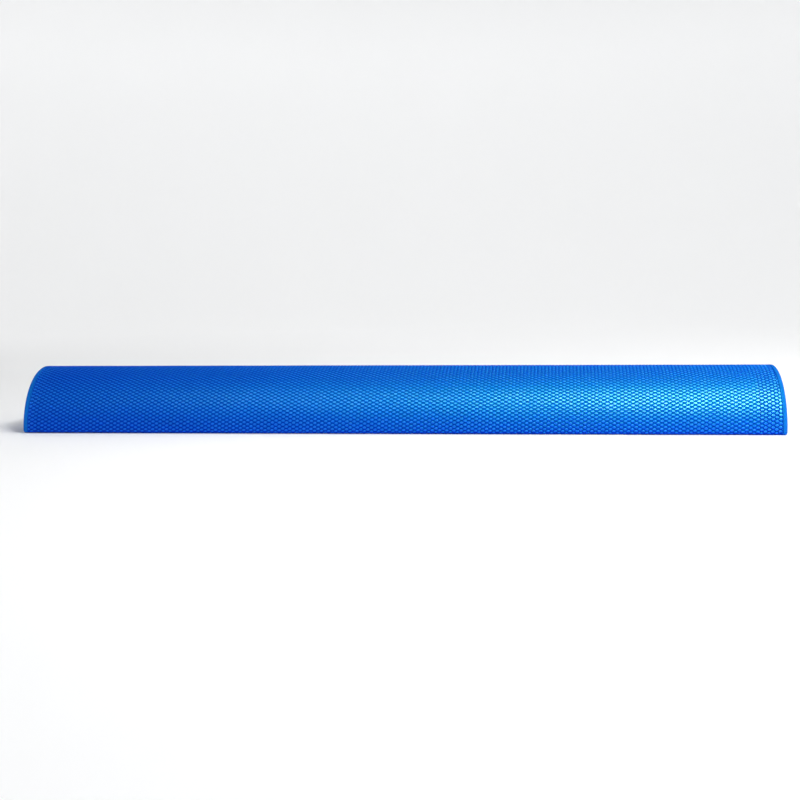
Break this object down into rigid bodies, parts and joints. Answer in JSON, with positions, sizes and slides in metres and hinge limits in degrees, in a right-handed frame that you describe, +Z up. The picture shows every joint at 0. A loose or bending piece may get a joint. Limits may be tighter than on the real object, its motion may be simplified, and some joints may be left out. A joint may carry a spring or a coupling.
{
  "type": "half round foam roller",
  "caption": "Half round foam roller with a diamond textured cover over its round side, a smooth flat underside and plain rounded end caps.",
  "frame": {"origin": "middle of the flat underside", "axes": "+X along the roller, +Y across it, +Z up out of the round side"},
  "size_m": [0.9144, 0.1522, 0.0762],
  "materials": {
    "core_foam": "blue closed-cell foam, cut surface, matte",
    "cover_foam": "blue closed-cell foam skin pressed with small raised diamonds, satin",
    "base_foam": "blue closed-cell foam skin, smooth, satin",
    "cap_foam": "blue closed-cell foam skin, smooth, satin"
  },
  "bodies": {
    "root": {"foam_core": "core_foam", "textured_cover": "cover_foam", "base_sheet": "base_foam", "left_end_cap": "cap_foam", "right_end_cap": "cap_foam"}
  },
  "joints": []
}
